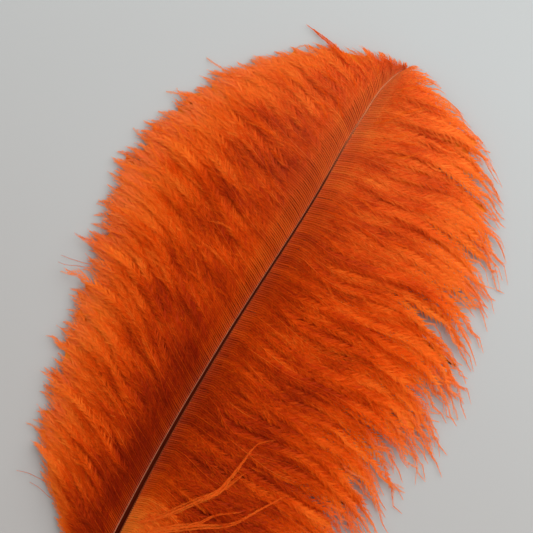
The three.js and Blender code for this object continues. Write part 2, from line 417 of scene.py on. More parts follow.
dyeAndShadeSettings = {
    "shaded": (0.24, 0.013, 0.0005),
    "deep": (0.50, 0.044, 0.0006),
    "middle": (0.80, 0.120, 0.0012),
    "light": (0.97, 0.295, 0.026),
    "tones": [(0.0, "shaded"), (0.3, "deep"), (0.6, "middle"), (1.0, "light")],
    "pale": (0.92, 0.42, 0.24),      # where the barbs took less of the dye
    "glow": (1.0, 0.19, 0.006),      # light that comes through a barb
    "ownGlow": 0.4,                  # how much of the barb's own colour that light has
    "through": 0.54,                 # share of the light that goes through
    "roughness": 0.6,
    "shine": 0.08,
    "blotch": 45.0,                  # patches to a metre where the dye took more or less
    "uneven": 0.35,
}


def dyeAndShadeMaterial(s):
    # colours of the dye, chosen by the tone mark, which carries painted light and shade as well as the dye
    material, tree = newMaterial("dyedAndShadedBarbs")
    tone, pale = readMark(tree, "tone"), readMark(tree, "pale")
    place = addNode(tree, "TexCoord").outputs["Object"]
    patches = addNode(tree, "TexNoise", {"Vector": place, "Scale": s["blotch"], "Detail": 3.0})
    strength = addNode(tree, "Math", {
        0: patches.outputs["Fac"], 1: s["uneven"], 2: -s["uneven"] / 2,
    }, operation="MULTIPLY_ADD")
    factor = addNode(tree, "Math", {0: tone, 1: strength.outputs[0]}, operation="ADD")
    dyed = rampColours(tree, factor.outputs[0], [(at, s[colour]) for at, colour in s["tones"]])
    faded = addNode(tree, "MixRGB", {"Fac": pale, "Color1": dyed, "Color2": (*s["pale"], 1)})
    colour = faded.outputs["Color"]
    surface = addNode(tree, "BsdfPrincipled", {
        "Base Color": colour, "Roughness": s["roughness"], "Specular IOR Level": s["shine"],
    })
    glow = addNode(tree, "MixRGB", {"Fac": s["ownGlow"], "Color1": (*s["glow"], 1), "Color2": colour})
    passed = addNode(tree, "BsdfTranslucent", {"Color": glow.outputs["Color"]})
    both = addNode(tree, "MixShader", {"Fac": s["through"]})
    tree.links.new(surface.outputs["BSDF"], both.inputs[1])
    tree.links.new(passed.outputs["BSDF"], both.inputs[2])
    addNode(tree, "OutputMaterial", {"Surface": both.outputs["Shader"]})
    return material


# Lengths in millimetres, and a barb's direction as its angle from +Y, in degrees, towards its own side:
# where it leaves the shaft, past the comb of short dense barbules, half way along, and at its tip
leftVane = {
    "node": "left_vane",
    "side": -1,
    "seed": 41,
    "length": [
        [0, 2.6], [3, 6], [8, 14], [16, 27], [28, 44], [45, 59], [65, 71], [90, 80], [115, 86], [150, 88],
        [170, 84], [200, 73], [225, 65], [245, 61], [258, 54], [268, 34], [275, 20],
    ],
    "rootAngle": [[0, -4], [8, 24], [25, 46], [60, 54], [275, 52]],
    "combAngle": [[0, 8], [8, 38], [25, 64], [60, 77], [95, 74], [140, 62], [275, 60]],
    "middleAngle": [[0, 20], [8, 52], [25, 75], [60, 73], [110, 62], [170, 57], [215, 66], [275, 60]],
    "tipAngle": [[0, 30], [8, 70], [25, 92], [60, 96], [110, 98], [170, 96], [215, 92], [275, 80]],
    "comb": [[0, 2], [20, 6], [60, 10], [100, 9], [135, 6], [170, 5], [250, 5], [275, 3]],
    "combShade": 0.60,       # how deep the painted shade in the gaps between the barbs is, in the comb
    "ends": 0.45,           # how pale the thin ends of the barbs look
    "sway": 0.5,            # how far locks of barbs slide along the shaft
    "shortShare": 0.10,     # share of the barbs that end early
    "looseShare": 0.10,     # share of the barbs that stray from their neighbours
    "hollow": [[110, 0], [225, 0.36], [275, 0.30]],    # painted shade beside the shaft, or painted light below 0
    # painted light at this distance from the tip, or painted shade below 0
    "lightAndShadeFade": [[0, 0.16], [20, 0.15], [50, 0.11], [90, 0.02], [130, 0.01], [275, 0.06]],
    "tipLength": 0.3,       # of the barbules at a barb's tip
    "tipFluff": 0.48,       # how fast the barbules grow longer, going back from a barb's tip
    "bareTip": 2.6,         # millimetres of bare stem at the tip, at most
    "bundle": 0.0,          # how far neighbouring tips cling together
    "ragged": 0.016,        # how unequal the barbs are
    "curl": 0.8,            # how far the barbs wave near their tips
    "splay": 1.7,           # how far the ends of neighbouring barbs spread apart
    "downEnd": 4,           # the down below ends about this far before the barbs do
    "downApart": 10,        # where outer barbs stand further apart than this, no down joins them
    "pale": 0.04,           # how much of the dye the barbs' bases near the feather's tip have missed
    "tone": 0.41,           # of the vane, from 0 for the darkest to 1: the dye, with the right vane painted lighter as the side towards the light
    "thinEndLight": 0.58,        # painted light in the barbs where the vane is thin, as light would come through it
}
rightVane = {
    "node": "right_vane",
    "side": 1,
    "seed": 97,
    "length": [
        [0, 5], [3, 12], [8, 26], [16, 46], [28, 66], [45, 82], [75, 94], [115, 106], [135, 109],
        [155, 103], [200, 100], [240, 87], [258, 71], [268, 50], [275, 28],
    ],
    "rootAngle": [[0, 18], [4, 36], [9, 47], [25, 54], [275, 52]],
    "combAngle": [[0, 24], [4, 50], [9, 63], [25, 70], [60, 82], [100, 94], [275, 94]],
    "middleAngle": [[0, 30], [4, 56], [9, 71], [25, 76], [60, 76], [100, 78], [160, 82], [275, 84]],
    "tipAngle": [[0, 64], [8, 90], [25, 108], [60, 118], [120, 126], [200, 124], [275, 116]],
    "comb": [[0, 2], [20, 5], [60, 8], [100, 7], [135, 5], [250, 4.5], [275, 3]],
    "combShade": 0.12,
    "ends": 0.66,
    "sway": 0.9,
    "shortShare": 0.17,
    "looseShare": 0.14,
    "hollow": [
        [30, 0], [60, 0.06], [150, 0.09], [200, -0.04], [220, -0.2], [238, -0.75], [275, -0.80],
    ],
    "lightAndShadeFade": [
        [0, 0.22], [20, 0.18], [60, 0.07], [95, -0.02], [140, -0.10], [190, -0.26], [240, -0.32],
        [275, -0.32],
    ],
    "tipLength": 0.2,
    "tipFluff": 0.10,
    "bareTip": 1.5,
    "bundle": 0.16,
    "ragged": 0.032,
    "curl": 1.7,
    "splay": 1.1,
    "downEnd": 12,
    "downApart": 5,
    "pale": 0.12,
    "tone": 0.55,
    "thinEndLight": 0.48,
}

# Settings that both vanes share, in millimetres
barbSettings = {
    "pitch": 1.0,             # from one root to the next
    "tipPitch": 0.4,          # the same at the feather's tip
    "tipZone": 16.0,          # how far from the tip the roots come to stand the whole pitch apart
    "firstRoot": 0.1,
    "endGap": 0.4,            # from about the last root to the vane's end
    "rootJitter": 0.07,
    "rootAcross": 0.72,       # how far a root is from the shaft's middle, as a share of its half width
    "rootGap": 0.15,          # and this much further out
    "rootUp": 0.6,            # how high it is above the shaft's middle, as a share of its half width
    "combWay": 12.0,          # how far along a barb its first bend ends
    "combMost": 0.25,         # and the share of its length where it ends at the latest
    "droopFrom": 0.45,        # share of its length from which it droops
    "droopCurve": 1.3,
    "locks": 26,
    "lockDip": 0.5,           # how deep the dip between two locks is
    "strand": (2, 4),         # barbs whose tips cling together
    "ridgeWide": (2.6, 6),    # the ridges and hollows that the fluff falls into
    "ridgeLong": (24, 60),
    "ridgeHeight": 0.42,
    "gather": 0.14,           # how far barbs slide up onto a ridge
    "patchWide": (9, 24),     # lighter and darker patches
    "patchLong": (25, 60),
    "patchTone": 0.06,
    "swayWide": (14, 40),
    "swayLong": (45, 110),
    "curlLong": (9, 22),
    "steps": 18,
    "crest": [[0, 7], [60, 7.5], [120, 9], [180, 11.5], [275, 12]],
    "crestShare": 0.145,      # and at most this share of a barb's length
    "arch": [[0, 0], [0.1, 0.46], [0.2, 0.8], [0.38, 1], [0.64, 0.74], [0.85, 0.32], [1, 0]],
    "sink": 1.1,              # how a barb's line falls from its root's height to its tip's
    "tipHeight": 1.3,
    "lowest": 0.35,
    "wholeBarb": 60,          # barbs shorter than this move less
    "freeWay": (5, 22),       # way along a barb over which it leaves the comb's order
    "hollowWay": (8, 28),     # and over which the painted shade beside the shaft ends
    # early ends
    "raggedBarb": (0.8, 0.01),
    "shortFrom": 12,          # none are short nearer to the feather's tip
    "shortReach": (0.5, 0.95),
    "looseReach": 0.03,
    "tipEarly": 0.3,
    "tipEarlyTo": 20,
    # how far barbs slide along the shaft, each kind over a share of its length
    "strandDrift": 0.35,
    "strandFrom": (0.3, 1),
    "barbDrift": 0.3,
    "barbFrom": (0.2, 0.9),
    "looseDrift": 2.1,
    "looseBend": 2.2,
    "looseStart": 1.5,
    "splayFrom": (0.65, 1),
    "curlSpread": (0.3, 1.4),
    "curlFrom": (0.55, 1),
    "clingSpread": (0.1, 1.3),
    "clingFrom": (0.6, 1),
    "clingRoot": (20, 90),    # distances from the tip over which tips begin to cling
    "gatherEnd": (0.5, 0.9),
    # how much higher or lower they lie
    "strandLift": 0.12,
    "barbLift": 0.16,
    "looseLift": 0.7,
    "looseTip": 3.5,
    "shortLift": 0.9,
    "shortFromShare": (0.5, 1),
    "crestSpread": 0.04,
    "underShare": 0.12,       # share of the barbs that lie under the others
    "underCrest": (0.65, 0.9),
    "underFrom": (0.1, 0.4),
    "flatter": 0.75,          # how much of the relief is gone at the tips
    "flatterFrom": (0.5, 0.95),
    # how much lighter or darker
    "strandTone": 0.04,
    "barbTone": 0.04,
    # painted light on the ridges and painted shade in the hollows between them
    "ridgeShade": 0.04,
    "looseTone": 0.12,
    "looseToneFrom": (0.6, 1),
    "thinEndLightFrom": (0.35, 1),
    # stems
    "rootRadius": 0.25,
    "tipRadius": 0.06,
    "stemTone": 0.30,         # how much lighter some of the stems are
}


def headingAt(vane, distance, length, share):
    # a barb bends back over the comb, swings forwards in the middle and droops back at its end
    s = barbSettings
    leave, over, middle, end = [
        np.radians(through(vane[bend], distance))
        for bend in ("rootAngle", "combAngle", "middleAngle", "tipAngle")
    ]
    way = share * length
    comb = np.minimum(s["combWay"], s["combMost"] * length)
    late = np.clip((share - s["droopFrom"]) / (1 - s["droopFrom"]), 0, 1) ** s["droopCurve"]
    return (leave + (over - leave) * ease(way, 0, comb) + (middle - over) * ease(way, comb, 0.5 * length)
            + (end - middle) * late)


def fieldPoint(vane, distance, share):
    # where a barb rooted at this distance has got to, seen from above, at a share of its length
    length = through(vane["length"], distance)
    across = through(shaftHalfWidth, distance) * barbSettings["rootAcross"] + barbSettings["rootGap"]
    offset = vane["side"] * across
    point = (shaftPoint(distance) + shaftAcross(distance) * offset[..., None])[..., :2]
    steps = 24
    for k in range(steps):
        angle = headingAt(vane, distance, length, share * (k + 0.5) / steps)
        heading = np.stack([vane["side"] * np.sin(angle), np.cos(angle)], -1)
        point = point + heading * (length * share / steps)[..., None]
    return point


def makeWaves(rng, wide, long, count=6):
    # gentle waves over (distance from the tip, way along a barb), each leaning a little its own way
    width = rng.uniform(*wide, count)
    run = rng.uniform(*long, count) * rng.choice([-1.0, 1.0], count)
    start = rng.uniform(0, 2 * math.pi, count)

    def height(distance, way):
        total = 0
        for k in range(count):
            total = total + np.sin(2 * math.pi * (distance / width[k] + way / run[k]) + start[k])
        return total * math.sqrt(2 / count)

    return height


def clumps(rng, count, least, most):
    # numbers things 0, 0, 0, 1, 1, 2, 2, 2 and so on, in runs of random length
    sizes = rng.integers(least, most + 1, count)
    return np.repeat(np.arange(count), sizes)[:count]


def groupMean(values, group):
    return (np.bincount(group, values) / np.maximum(np.bincount(group), 1))[group]


def placeRoots(rng, s):
    roots = [s["firstRoot"]]
    while roots[-1] < vaneLength - s["endGap"]:
        pitch = mix(s["tipPitch"], s["pitch"], min(roots[-1] / s["tipZone"], 1))
        roots.append(roots[-1] + pitch)
    return np.clip(np.array(roots) + rng.normal(0, s["rootJitter"], len(roots)), 0, vaneLength)


def barbSet(rng, points, root, full, tone, **own):
    # what the makers of meshes read of a set of barbs
    count = len(full)
    return {
        "rng": rng, "points": points, "root": root, "full": full, "tone": tone, "quillSide": 1,
        "comb": np.zeros(count), "combShade": 0.4, "bare": np.zeros(count), "ends": np.zeros(count),
        "pale": 0, "bleached": 0, **own,
    }


def growBarbs(vane, s):
    rng = np.random.default_rng(vane["seed"])
    root = placeRoots(rng, s)
    count = len(root)
    strand = clumps(rng, count, *s["strand"])
    strandMiddle = groupMean(root, strand)
    lockLength = vaneLength / s["locks"]
    lockMiddle = (np.floor(root / lockLength) + 0.5) * lockLength
    ridge = makeWaves(rng, s["ridgeWide"], s["ridgeLong"])
    sway = makeWaves(rng, s["swayWide"], s["swayLong"])
    patch = makeWaves(rng, s["patchWide"], s["patchLong"])
    perStrand = lambda spread: rng.normal(0, spread, count)[strand][:, None]
    perBarb = lambda spread: rng.normal(0, spread, count)[:, None]
    strandBetween = lambda low, high: rng.uniform(low, high, count)[strand][:, None]
    barbBetween = lambda low, high: rng.uniform(low, high, count)[:, None]
    full = through(vane["length"], root)[:, None]
    loose = rng.random(count)[:, None] < vane["looseShare"]
    v = np.linspace(0, 1, s["steps"] + 1)[None]

    # how much of its whole length each barb has
    raggedBarb, least = s["raggedBarb"]
    reach = 1 + perStrand(vane["ragged"]) + perBarb(raggedBarb * vane["ragged"] + least)
    short = (rng.random(count)[:, None] < vane["shortShare"]) & (root[:, None] > s["shortFrom"])
    reach = np.where(short, reach * barbBetween(*s["shortReach"]), reach)
    reach = np.where(loose & ~short, reach + s["looseReach"], reach)
    reach *= 1 - s["tipEarly"] * rng.random((count, 1)) * (1 - ease(root, 0, s["tipEarlyTo"]))[:, None]
    share = v * reach
    way = share * full

    # where it lies, seen from above, as a slide along the shaft
    small = np.minimum(full / s["wholeBarb"], 1)
    free = ease(way, *s["freeWay"]) * small
    at = root[:, None] + 0 * v
    near = 0.3
    uphill = (ridge(at + near, way) - ridge(at - near, way)) / (2 * near)
    wave = 2 * math.pi / strandBetween(*s["curlLong"])
    begin = strandBetween(0, 2 * math.pi) + perBarb(1.0)
    curl = vane["curl"] * strandBetween(*s["curlSpread"]) * np.sin(way * wave + begin)
    cling = vane["bundle"] * strandBetween(*s["clingSpread"]) * ease(root, *s["clingRoot"])[:, None]
    gathered = s["gather"] * uphill * (1 - ease(share, *s["gatherEnd"]))
    drift = (
        (gathered + vane["sway"] * sway(at, way)) * free
        + cling * ease(v, *s["clingFrom"]) * (strandMiddle[:, None] - at)
        + (perStrand(s["strandDrift"]) * ease(v, *s["strandFrom"]) + curl * ease(v, *s["curlFrom"])) * small
        + (perBarb(s["barbDrift"]) * ease(v, *s["barbFrom"])
           + perBarb(vane["splay"]) * ease(v, *s["splayFrom"])) * small
        + np.where(loose, perBarb(s["looseDrift"]) * np.sin(
            v * s["looseBend"] + rng.uniform(0, s["looseStart"])), 0) * free
    )
    flat = fieldPoint(vane, np.clip(at + drift, 0, vaneLength), share)

    # how high it lies
    reached = np.clip(share, 0, 1)
    rootHeight = (through(shaftHeight, root) + through(shaftHalfWidth, root) * s["rootUp"])[:, None]
    tipHeight = s["tipHeight"] + np.abs(perBarb(1.0)) + np.where(loose, barbBetween(0, s["looseTip"]), 0)
    most = np.minimum(through(s["crest"], root)[:, None], s["crestShare"] * full)
    crest = most * (1 + perBarb(s["crestSpread"]))
    under = np.where(rng.random(count) < s["underShare"], rng.uniform(*s["underCrest"], count), 1)[:, None]
    valley = s["lockDip"] * ((root - lockMiddle) / (lockLength / 2))[:, None] ** 2
    raised = (np.where(loose, s["looseLift"], 0)
              + np.where(short, s["shortLift"], 0) * ease(v, *s["shortFromShare"]))
    relief = s["ridgeHeight"] * ridge(at, way) + perStrand(s["strandLift"]) + perBarb(s["barbLift"]) + raised
    height = (
        mix(rootHeight, tipHeight, reached ** s["sink"])
        + crest * through(s["arch"], reached) * mix(1, under, ease(v, *s["underFrom"]))
        + (relief - valley) * free * (1 - s["flatter"] * ease(reached, *s["flatterFrom"]))
    )
    points = np.concatenate([flat, np.maximum(height, s["lowest"])[..., None]], -1)

    # how light its dye looks
    # painted shade in the valley beside the shaft, and painted light where it goes below 0
    hollow = through(vane["hollow"], root)[:, None] * (1 - ease(way, *s["hollowWay"]))
    apart = np.where(short | loose, s["looseTone"], 0) * ease(v, *s["looseToneFrom"])
    # painted light where the vane thins out towards the barbs' ends
    light = vane["thinEndLight"] * ease(reached, *s["thinEndLightFrom"]) + apart
    # painted light on the ridges and painted shade between them, with lighter and darker patches
    ridgeShadeAndPatches = (s["ridgeShade"] * ridge(at, way) + s["patchTone"] * patch(at, way)) * free
    # painted light and shade along the feather, lighter towards its tip
    lightAndShadeFade = through(vane["lightAndShadeFade"], root)[:, None]
    tone = (vane["tone"] + perStrand(s["strandTone"]) + perBarb(s["barbTone"]) + ridgeShadeAndPatches + light + lightAndShadeFade
            - hollow)
    return barbSet(
        rng, points, root, full[:, 0] * reach[:, 0], tone,
        quillSide=vane["side"],
        comb=through(vane["comb"], root),
        bare=vane["bareTip"] * rng.random(count),
        ends=vane["ends"] * ~short[:, 0],
        whole=~(short | loose)[:, 0],
        **{key: vane[key] for key in ("combShade", "tipLength", "tipFluff", "downEnd", "downApart", "pale")},
    )


def alongBarbs(grown, barb, share):
    # the place, direction and tone at a share of the way along each barb
    points, tones = grown["points"], grown["tone"]
    steps = points.shape[1] - 1
    at = np.clip(share, 0, 1) * steps
    i = np.minimum(at.astype(int), steps - 1)
    f = at - i
    tangents = np.gradient(points, axis=1)
    place = mix(points[barb, i], points[barb, i + 1], f[:, None])
    tangent = unit(mix(tangents[barb, i], tangents[barb, i + 1], f[:, None]))
    return place, tangent, mix(tones[barb, i], tones[barb, i + 1], f)


def sideAndUp(tangent):
    side = unit(np.cross(tangent, [0.0, 0.0, 1.0]))
    return side, np.cross(side, tangent)


def keepAbove(points, lowest):
    points[..., 2] = np.maximum(points[..., 2], lowest)


def alternate(grown, spacing, fewest):
    # places along every barb, left and right by turns: which barb, the share of its length, and the side
    number = 2 * np.maximum((grown["full"] / spacing).astype(int), fewest)
    barb = np.repeat(np.arange(len(number)), number)
    order = np.arange(len(barb)) - np.repeat(np.cumsum(number) - number, number)
    side = np.where(order % 2 == 0, 1.0, -1.0)
    share = (order // 2 + grown["rng"].random(len(barb))) * 2 / number[barb]
    return barb, share, side


# Wisps of barbules that cling together and stand out from the barbs
wispSettings = {
    "number": 170,
    "place": (0.06, 0.93),    # share of a barb's length
    "pastComb": 0.8,          # times the comb's width
    "length": (7, 17),
    "lean": (6, 26),          # degrees away from the barb that a wisp grows on
    "leanCurve": (0.8, 2.2),
    "rise": (0.5, 1.8),
    "riseEnd": (0.6, 1.0),
    "above": 0.25,            # its lowest height over that barb
    "lowest": 0.3,
    "steps": 7,
    "lighter": 0.11,
    "toneSpread": 0.05,
    "tipLength": 0.4,
    "tipFluff": 0.24,
    "rootRadius": 0.07,
    "tipRadius": 0.03,
    "stemTone": 0.1,
    "fluff": {
        "spacing": 0.3, "fullLength": 1.6, "outerLength": 1.5, "fullOpening": (30, 10), "width": 0.14,
    },
}


def growWisps(grown, s):
    # short soft curves that leave the barbs a little aside, rise and fall back
    rng = grown["rng"]
    barb = rng.choice(len(grown["full"]), s["number"], p=grown["full"] / grown["full"].sum())
    share = rng.uniform(*s["place"], s["number"])
    kept = share * grown["full"][barb] > grown["comb"][barb] * s["pastComb"]
    barb, share = barb[kept], share[kept]
    count = len(barb)
    origin, tangent, tone = alongBarbs(grown, barb, share)
    across, up = sideAndUp(tangent)
    u = np.linspace(0, 1, s["steps"] + 1)[None]
    small = np.minimum(grown["full"][barb] / barbSettings["wholeBarb"], 1)[:, None]
    length = rng.uniform(*s["length"], count)[:, None] * small
    lean = np.tan(np.radians(rng.uniform(*s["lean"], count)))[:, None] * rng.choice([-1, 1], (count, 1))
    aside = length * lean * u ** rng.uniform(*s["leanCurve"], (count, 1))
    rise = rng.uniform(*s["rise"], count)[:, None]
    lift = rise * np.sin(math.pi * u * rng.uniform(*s["riseEnd"], (count, 1)))
    points = (origin[:, None] + tangent[:, None] * (length * u)[..., None]
              + across[:, None] * aside[..., None] + up[:, None] * (lift + s["above"])[..., None])
    keepAbove(points, s["lowest"])
    tone = tone[:, None] + s["lighter"] * u ** 0.5 + rng.normal(0, s["toneSpread"], (count, 1))
    return barbSet(
        rng, points, grown["root"][barb], length[:, 0], tone,
        quillSide=grown["quillSide"], tipLength=s["tipLength"], tipFluff=s["tipFluff"],
    )


paleSettings = {
    "baseWay": (1, 9),        # way along a barb over which its pale base ends
    "baseRoot": (30, 75),     # distances from the feather's tip over which such bases end
    "atShaft": 0.12,          # paleness just where a barb leaves the shaft
    "shaftWay": (0.3, 1.3),
    "endFrom": (0.74, 1),     # share of a barb's length over which its end turns pale
    "crown": 0.12,            # paleness of the feather's tip
    "crownRoot": (20, 120),
}


def paleness(grown, barb, way):
    # the bases of the barbs have taken less dye, and near the feather's tip so have the barbs
    s = paleSettings
    root = grown["root"][barb]
    base = grown["pale"] * (1 - ease(way, *s["baseWay"])) * (1 - ease(root, *s["baseRoot"]))
    base = base + s["atShaft"] * (1 - ease(way, *s["shaftWay"]))
    ends = grown["ends"][barb] * ease(way / grown["full"][barb], *s["endFrom"])
    crown = s["crown"] * (1 - ease(root, *s["crownRoot"]))
    return (base + ends + crown) * (grown["pale"] > 0) + grown["bleached"]


stemSettings = {
    "taper": (0, 0.45),       # share of its length over which a stem thins faster
    "taperShare": 0.35,
    "combEnd": (0.7, 1.6),    # times the comb's width, from bare stems to stems among fluff
    "lighter": 0.10,          # than the barbules on it
    "combLighter": 0.5,       # share of combShade, as painted light on the stems in the comb
    "nearTip": (2, 12),       # millimetres from its tip over which it turns darker
    "darker": 0.22,
    "shortBarb": 30,          # shorter barbs turn less dark
}


def barbStems(grown, s):
    # three-sided tapering stems
    stem = stemSettings
    points = grown["points"]
    count, steps = points.shape[:2]
    side, up = sideAndUp(unit(np.gradient(points, axis=1)))
    v = np.linspace(0, 1, steps)[None]
    thinned = ease(v, *stem["taper"]) * stem["taperShare"] + v * (1 - stem["taperShare"])
    radius = mix(s["rootRadius"], s["tipRadius"], thinned)[..., None]
    corners = [(0.0, 1.0), (-0.87, -0.5), (0.87, -0.5)]
    rings = np.stack([points + radius * (x * side + z * up) for x, z in corners], 2)
    first = (np.arange(count)[:, None] * steps + np.arange(steps - 1)).ravel() * 3
    faces = []
    for k in range(3):
        a, b = first + k, first + (k + 1) % 3
        faces += [np.stack([a, b, b + 3], 1), np.stack([a, b + 3, a + 3], 1)]
    barb = np.repeat(np.arange(count), steps * 3)
    full = grown["full"][:, None]
    way = full * v
    nearTip = 1 - ease(full - way, *stem["nearTip"])
    combBegin, combEnd = [grown["comb"][:, None] * share for share in stem["combEnd"]]
    comb = 1 - ease(way, combBegin, combEnd + tiny)
    fluffy = stem["lighter"] + s["stemTone"] * grown["rng"].random((count, 1)) ** 2
    lighter = mix(fluffy, stem["combLighter"] * grown["combShade"], comb)
    darker = stem["darker"] * np.minimum(full / stem["shortBarb"], 1)
    tone = np.repeat((grown["tone"] + mix(lighter, -darker, nearTip)).ravel(), 3)
    pale = paleness(grown, barb, way.repeat(3, axis=1).ravel())
    return rings.reshape(-1, 3), np.concatenate(faces), tone, pale, barb


barbuleSettings = {
    "spacing": 0.24,
    "fewest": 6,                         # on each side of a barb
    "combFade": (0.6, 1.5),              # times the comb's width, over which the fluff begins
    "combShare": 0.4,                    # share of the barbules that stand up from the comb
    "combLength": 0.9,
    "fullLength": 3.6,
    "outerLength": 4.6,
    "outerFrom": (0.4, 0.75),            # share of a barb's length
    "bareLength": 0.25,
    "mostLength": (0.1, 0.6),            # at most this share of the barb's length, and this much more
    "lengthSpread": (0.6, 1.25),
    "width": 0.19,
    "widthSpread": (0.75, 1.2),
    "combOpening": (50, 30),             # degrees from the barb at a barbule's root and towards its tip
    "fullOpening": (41, 15),
    "outerOpening": (31, 12),
    "openingSpread": (7, 9),
    "combRise": (-35, 5),                # degrees above the barb's sides, in the comb
    "topRise": (-16, 34),                # on the side towards the quill, which lies on top
    "lowRise": (-38, 16),                # and on the other one
    "clump": 1.1,                        # barbules cling together over this way along a barb
    "clumpTone": 0.08,
    "clumpLean": 6,
    "clumpRise": 2,                      # times the clump's lean
    "calmOuter": 0.5,                    # how much less uneven the outer ones are
    "parts": (0.42, 0.58),               # of a barbule, before and after its bend
    "sag": 0.25,
    "faceUp": 0.6,                       # how far their flat sides turn upwards
    "twist": 0.3,
    "lowest": (0.15, 0.12),              # for its bend and its tip
    "toneSpread": 0.055,
    # painted light on the barbules on the quill side, which lie on top, and painted shade on the others
    "topTone": 0.03,
    "toneAlong": (-0.04, 0.01, 0.01, 0.07),    # at its root, its two middle points and its tip
    "paleShare": 0.6,                    # of the paleness of the stem
}


def openingAngle(s, end, fluffy, outer):
    # in radians, at a barbule's root or tip: over the comb, in the middle of a barb, and further out
    comb, full, far = [s[zone + "Opening"][end] for zone in ("comb", "full", "outer")]
    return np.radians(mix(comb, mix(full, far, outer), fluffy))


def barbules(grown, s):
    # each is a bent kite of two triangles: its root, two middle points and its tip
    rng = grown["rng"]
    barb, share, side = alternate(grown, s["spacing"], s["fewest"])
    comb = grown["comb"][barb]
    begins, full = s["combFade"]
    fluffy = ease(share * grown["full"][barb], comb * begins, comb * full + tiny)
    kept = rng.random(len(barb)) < mix(s["combShare"], 1, fluffy)
    barb, share, side, fluffy = barb[kept], share[kept], side[kept], fluffy[kept]
    count = len(barb)
    origin, tangent, tone = alongBarbs(grown, barb, share)
    across, up = sideAndUp(tangent)
    whole = grown["full"][barb]
    way = share * whole
    outer = ease(share, *s["outerFrom"])
    left = whole - way - grown["bare"][barb]
    nearTip = s["bareLength"] + (left > 0) * grown["tipLength"] + grown["tipFluff"] * np.maximum(left, 0)
    mostShare, mostMore = s["mostLength"]
    full = np.minimum(mix(s["fullLength"], s["outerLength"], outer), nearTip)
    full = np.minimum(full, mostShare * whole + mostMore)

    clumpsOnBarb = 400      # more than any barb has
    clump = (barb * 2 + (side > 0)) * clumpsOnBarb + (way / s["clump"]).astype(int)
    clump = np.unique(clump, return_inverse=True)[1]
    perClump = lambda spread: rng.normal(0, spread, clump.max() + 1)[clump]
    lean = perClump(s["clumpLean"])
    length = mix(s["combLength"], full, fluffy) * rng.uniform(*s["lengthSpread"], count)
    onTop = side == grown["quillSide"]
    rise = np.where(onTop, rng.uniform(*s["topRise"], count), rng.uniform(*s["lowRise"], count))
    rise = rise + s["clumpRise"] * lean
    roll = np.radians(mix(rng.uniform(*s["combRise"], count), rise, fluffy))
    outwards = across * (side * np.cos(roll))[:, None] + up * np.sin(roll)[:, None]
    rootOpen, tipOpen = [
        (openingAngle(s, end, fluffy, outer) + np.radians(lean + rng.normal(0, spread, count)))[:, None]
        for end, spread in enumerate(s["openingSpread"])
    ]
    sag = np.array([0, 0, -1.0]) * (s["sag"] * fluffy * rng.random(count))[:, None]
    firstWay = unit(np.cos(rootOpen) * tangent + np.sin(rootOpen) * outwards)
    secondWay = unit(np.cos(tipOpen) * tangent + np.sin(tipOpen) * outwards + sag)
    before, after = s["parts"]
    bend = origin + firstWay * (length * before)[:, None]
    tip = bend + secondWay * (length * after)[:, None]
    keepAbove(bend, s["lowest"][0])
    keepAbove(tip, s["lowest"][1])

    wide = unit(np.cross(firstWay + secondWay, outwards * np.sin(roll)[:, None] + up * s["faceUp"]))
    twist = rng.normal(0, s["twist"], count)[:, None]
    wide = unit(wide + twist * np.cross(wide, unit(firstWay + secondWay)))
    half = (s["width"] / 2 * rng.uniform(*s["widthSpread"], count))[:, None]
    corners = np.stack([origin, bend - wide * half, bend + wide * half, tip], 1)
    first = np.arange(count) * 4
    faces = np.concatenate([
        np.stack([first, first + 1, first + 2], 1), np.stack([first + 1, first + 3, first + 2], 1),
    ])
    uneven = perClump(s["clumpTone"]) * fluffy + rng.normal(0, s["toneSpread"], count)
    tone = tone + uneven * (1 - s["calmOuter"] * outer)
    # painted light on the barbules on top, painted shade on those beneath
    tone = np.repeat(tone + np.where(onTop, s["topTone"], -s["topTone"]), 4)
    tone = tone + np.tile(s["toneAlong"], count)
    pale = np.repeat(s["paleShare"] * paleness(grown, barb, way), 4)
    return corners.reshape(-1, 3), faces, tone, pale, np.repeat(barb, 4)


webSettings = {
    "steps": 9,
    "length": 1.5,            # times the comb's width
    "reach": (0.56, 0.55),    # how far the web beside a stem reaches aside and down
    "endReach": 0.3,          # share of that where it ends
    "ending": (0.7, 1),       # share of its length over which it ends
    "close": (0.3, 12),       # this share of the reach at the feather's tip, and all of it from about here
    "above": 0.08,
    "lowest": 0.1,
    "toneWay": (0.6, 2.4),    # way along a barb over which the painted shade in the gaps comes in
    "middleLess": 3,          # the middle is painted lighter by combShade divided by this
    "paleShare": 0.5,
}


